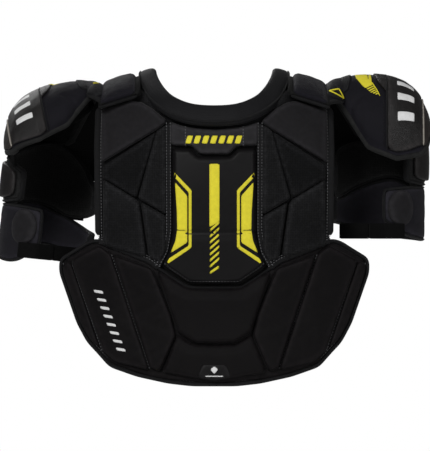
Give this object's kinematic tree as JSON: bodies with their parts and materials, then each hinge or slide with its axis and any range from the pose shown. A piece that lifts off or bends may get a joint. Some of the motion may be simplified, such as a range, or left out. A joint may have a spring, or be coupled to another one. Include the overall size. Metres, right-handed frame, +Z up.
{
  "type": "hockey shoulder pads",
  "caption": "Ice hockey shoulder pads: quilted foam back and chest, hinged lumbar wings, shoulder caps, bicep guards and elastic straps.",
  "frame": {"origin": "the middle of the neck opening, level with the shoulder line", "axes": "+Z up along the wearer's spine, +Y out of the wearer's chest, +X to the wearer's right-hand side as the back is seen"},
  "size_m": [0.5904, 0.2493, 0.434],
  "materials": {
    "quilt": "knit mesh over foam, matt, quilted",
    "collar": "smooth matt polyester over foam",
    "spine_panel": "moulded foam under a fine woven skin",
    "lumbar": "smooth matt polyester, slightly brown",
    "liner": "brushed mesh lining",
    "cap_fabric": "neoprene-like knit, slightly blue",
    "cap_leather": "grained synthetic leather",
    "elastic": "ribbed elastic webbing",
    "accent": "printed yellow, satin"
  },
  "bodies": {
    "back": {"back_liner": "liner", "spine_top_panel": "spine_panel", "spine_plate_upper": "spine_panel", "spine_plate_lower": "spine_panel", "collar": "collar", "scapula_pad_left": "quilt", "scapula_pad_right": "quilt", "blade_pad_left": "quilt", "blade_pad_right": "quilt", "inner_pad_left": "quilt", "inner_pad_right": "quilt", "rib_pad_left": "quilt", "rib_pad_right": "quilt", "waist_pad_left": "quilt", "waist_pad_right": "quilt", "yoke_pad_left": "collar", "yoke_pad_right": "collar", "yoke_liner_left": "liner", "yoke_liner_right": "liner"},
    "lumbar": {"lumbar_liner": "liner", "spine_plate_lumbar": "spine_panel", "tail_plate": "spine_panel", "wing_liner_left": "liner", "wing_liner_right": "liner", "lumbar_pad_left": "lumbar", "lumbar_pad_right": "lumbar", "wing_pad_left": "lumbar", "wing_pad_right": "lumbar", "wing_edge_pad_left": "lumbar", "wing_edge_pad_right": "lumbar"},
    "chest": {"chest_liner": "liner", "front_neck_trim": "collar", "sternum_plate": "spine_panel", "chest_pad_left": "quilt", "chest_pad_right": "quilt"},
    "belly": {"belly_liner": "liner", "belly_pad": "lumbar", "belly_side_pad_left": "lumbar", "belly_side_pad_right": "lumbar"},
    "left_cap": {"cap_shell_left": "cap_fabric", "cap_liner_left": "liner", "cap_crest_left": "cap_leather", "cap_hinge_tab_left": "collar"},
    "left_bicep": {"bicep_pad_left": "liner", "bicep_plate_left": "cap_leather"},
    "left_lower_bicep": {"lower_bicep_pad_left": "cap_fabric", "strap_tab_left": "elastic"},
    "left_bicep_strap": {"bicep_strap_left": "elastic"},
    "left_side_strap": {"side_strap_left": "elastic"},
    "right_cap": {"cap_shell_right": "cap_fabric", "cap_liner_right": "liner", "cap_crest_right": "cap_leather", "cap_hinge_tab_right": "collar"},
    "right_bicep": {"bicep_pad_right": "liner", "bicep_plate_right": "cap_leather"},
    "right_lower_bicep": {"lower_bicep_pad_right": "cap_fabric", "strap_tab_right": "elastic"},
    "right_bicep_strap": {"bicep_strap_right": "elastic"},
    "right_side_strap": {"side_strap_right": "elastic"}
  },
  "joints": [
    {"name": "lumbar_flex", "type": "hinge", "parent": "back", "child": "lumbar", "pos_m": [0, -0.099, -0.222], "axis": [-1, 0, 0], "range_deg": [-4, 15]},
    {"name": "chest_swing", "type": "hinge", "parent": "back", "child": "chest", "pos_m": [0, 0.09, -0.003], "axis": [1, 0, 0], "range_deg": [0, 60]},
    {"name": "belly_flex", "type": "hinge", "parent": "chest", "child": "belly", "pos_m": [0, 0.115, -0.1965], "axis": [1, 0, 0], "range_deg": [-10, 30]},
    {"name": "right_cap_lift", "type": "hinge", "parent": "back", "child": "right_cap", "pos_m": [0.154, 0, 0.028], "axis": [0, -1, 0], "range_deg": [0, 65]},
    {"name": "left_cap_lift", "type": "hinge", "parent": "back", "child": "left_cap", "pos_m": [-0.154, 0, 0.028], "axis": [0, 1, 0], "range_deg": [0, 77]},
    {"name": "right_bicep_swing", "type": "hinge", "parent": "right_cap", "child": "right_bicep", "pos_m": [0.283, 0, -0.047], "axis": [0, -1, 0], "range_deg": [-6, 25]},
    {"name": "left_bicep_swing", "type": "hinge", "parent": "left_cap", "child": "left_bicep", "pos_m": [-0.278, 0.012, -0.07], "axis": [0, 1, 0], "range_deg": [-6, 25]},
    {"name": "right_elbow_flex", "type": "hinge", "parent": "right_bicep", "child": "right_lower_bicep", "pos_m": [0.287, 0, -0.1145], "axis": [0, -1, 0], "range_deg": [0, 15]},
    {"name": "left_elbow_flex", "type": "hinge", "parent": "left_bicep", "child": "left_lower_bicep", "pos_m": [-0.289, 0.012, -0.1365], "axis": [0, 1, 0], "range_deg": [0, 15]},
    {"name": "right_bicep_strap_open", "type": "hinge", "parent": "right_lower_bicep", "child": "right_bicep_strap", "pos_m": [0.258, -0.053, -0.1765], "axis": [0, 0, 1], "range_deg": [0, 60]},
    {"name": "left_bicep_strap_open", "type": "hinge", "parent": "left_lower_bicep", "child": "left_bicep_strap", "pos_m": [-0.2667, -0.041, -0.2014], "axis": [-0.1045, 0, -0.9945], "range_deg": [0, 60]},
    {"name": "right_side_strap_open", "type": "hinge", "parent": "lumbar", "child": "right_side_strap", "pos_m": [0.188, -0.042, -0.256], "axis": [0, 0, -1], "range_deg": [0, 50]},
    {"name": "left_side_strap_open", "type": "hinge", "parent": "lumbar", "child": "left_side_strap", "pos_m": [-0.188, -0.042, -0.256], "axis": [0, 0, 1], "range_deg": [0, 50]}
  ]
}
